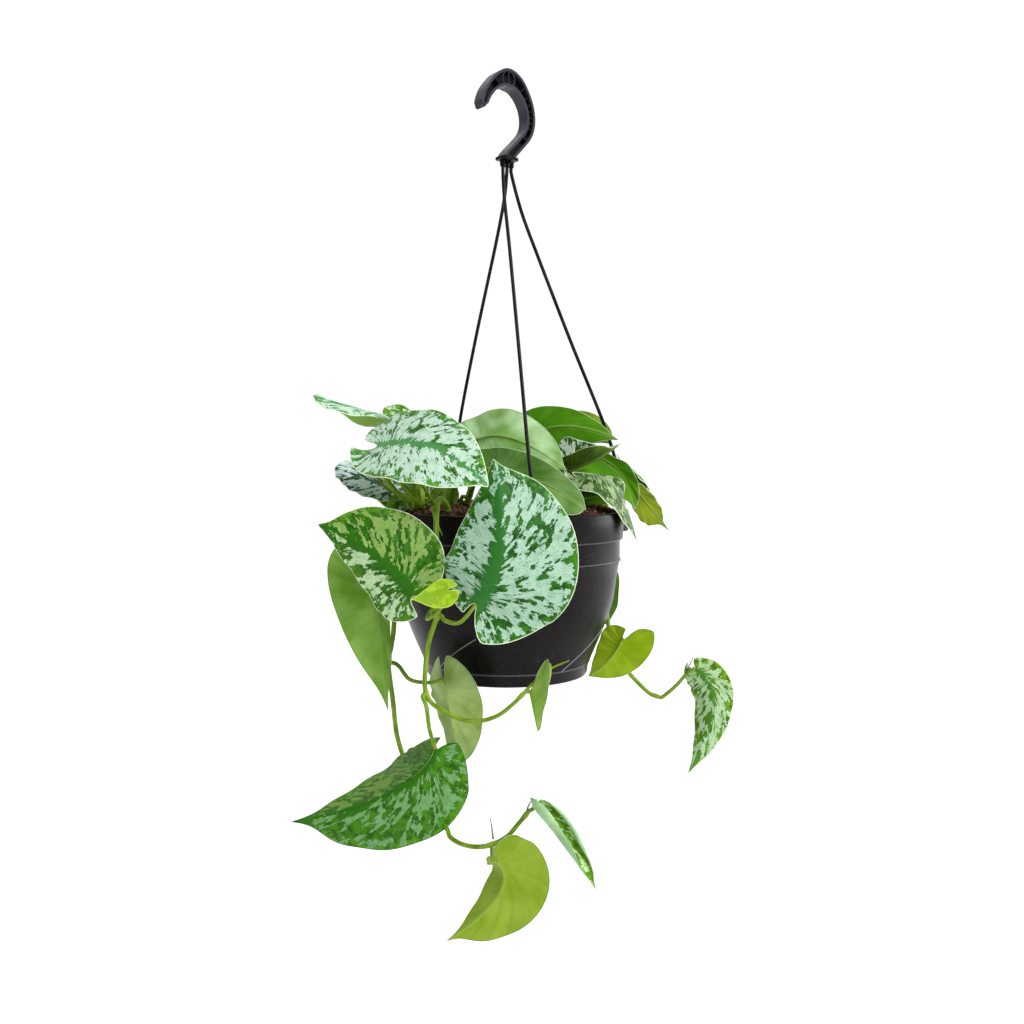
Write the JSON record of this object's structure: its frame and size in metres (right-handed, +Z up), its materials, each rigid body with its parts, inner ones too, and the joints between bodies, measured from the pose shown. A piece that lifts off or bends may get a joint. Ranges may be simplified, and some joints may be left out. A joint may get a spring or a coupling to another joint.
{
  "type": "satin pothos in a hanging pot",
  "caption": "Trailing satin pothos with silver-splashed heart-shaped leaves, growing in a round plastic hanging pot on wires and a hook.",
  "frame": {"origin": "the seat of the hook, at the underside of its top bend, where a rail would carry it", "axes": "+Z up, +X to the right of a viewer who faces the front of the plant, +Y away from that viewer"},
  "size_m": [0.3086, 0.2385, 0.6015],
  "materials": {
    "pot_plastic": "dark grey moulded plastic with a soft sheen",
    "hook_plastic": "glossy black moulded plastic",
    "wire_plastic": "black plastic rod with a satin sheen",
    "potting_mix": "moist crumbly peat and bark",
    "stem": "smooth living green stem",
    "leaf": "satin leaf, green with silver splashes above and plain pale green below",
    "young_leaf": "glossy yellow-green young leaf"
  },
  "bodies": {
    "root": {"pot": "pot_plastic", "hanger_hook": "hook_plastic", "hanger_wire_front": "wire_plastic", "hanger_wire_right": "wire_plastic", "hanger_wire_back_left": "wire_plastic", "potting_mix": "potting_mix", "vine_left": "stem", "vine_front": "stem", "vine_right": "stem", "vine_back": "stem", "crown_left": "stem", "crown_centre": "stem", "crown_right": "stem", "leaf_upper_left": "leaf", "leaf_front_left": "leaf", "leaf_front_centre": "leaf", "leaf_lower_left": "leaf", "leaf_left_hanging": "leaf", "leaf_under_pot": "leaf", "leaf_young_front": "young_leaf", "leaf_young_yellow": "young_leaf", "leaf_bottom": "leaf", "leaf_bottom_rolled": "leaf", "leaf_right_round": "leaf", "leaf_far_right": "leaf", "leaf_top_satin": "leaf", "leaf_top_tongue": "leaf", "leaf_top_green": "leaf", "leaf_top_behind": "leaf", "leaf_top_folded": "leaf", "leaf_right_green": "leaf", "leaf_right_curled": "leaf", "leaf_right_olive": "leaf", "leaf_right_thin": "leaf", "leaf_far_left": "leaf", "leaf_left_behind": "leaf", "leaf_left_curl": "leaf", "leaf_left_inner": "leaf", "leaf_back_centre": "leaf", "leaf_back_left": "leaf", "leaf_back_low": "leaf", "leaf_back_right": "leaf", "leaf_back_side": "leaf"}
  },
  "joints": []
}
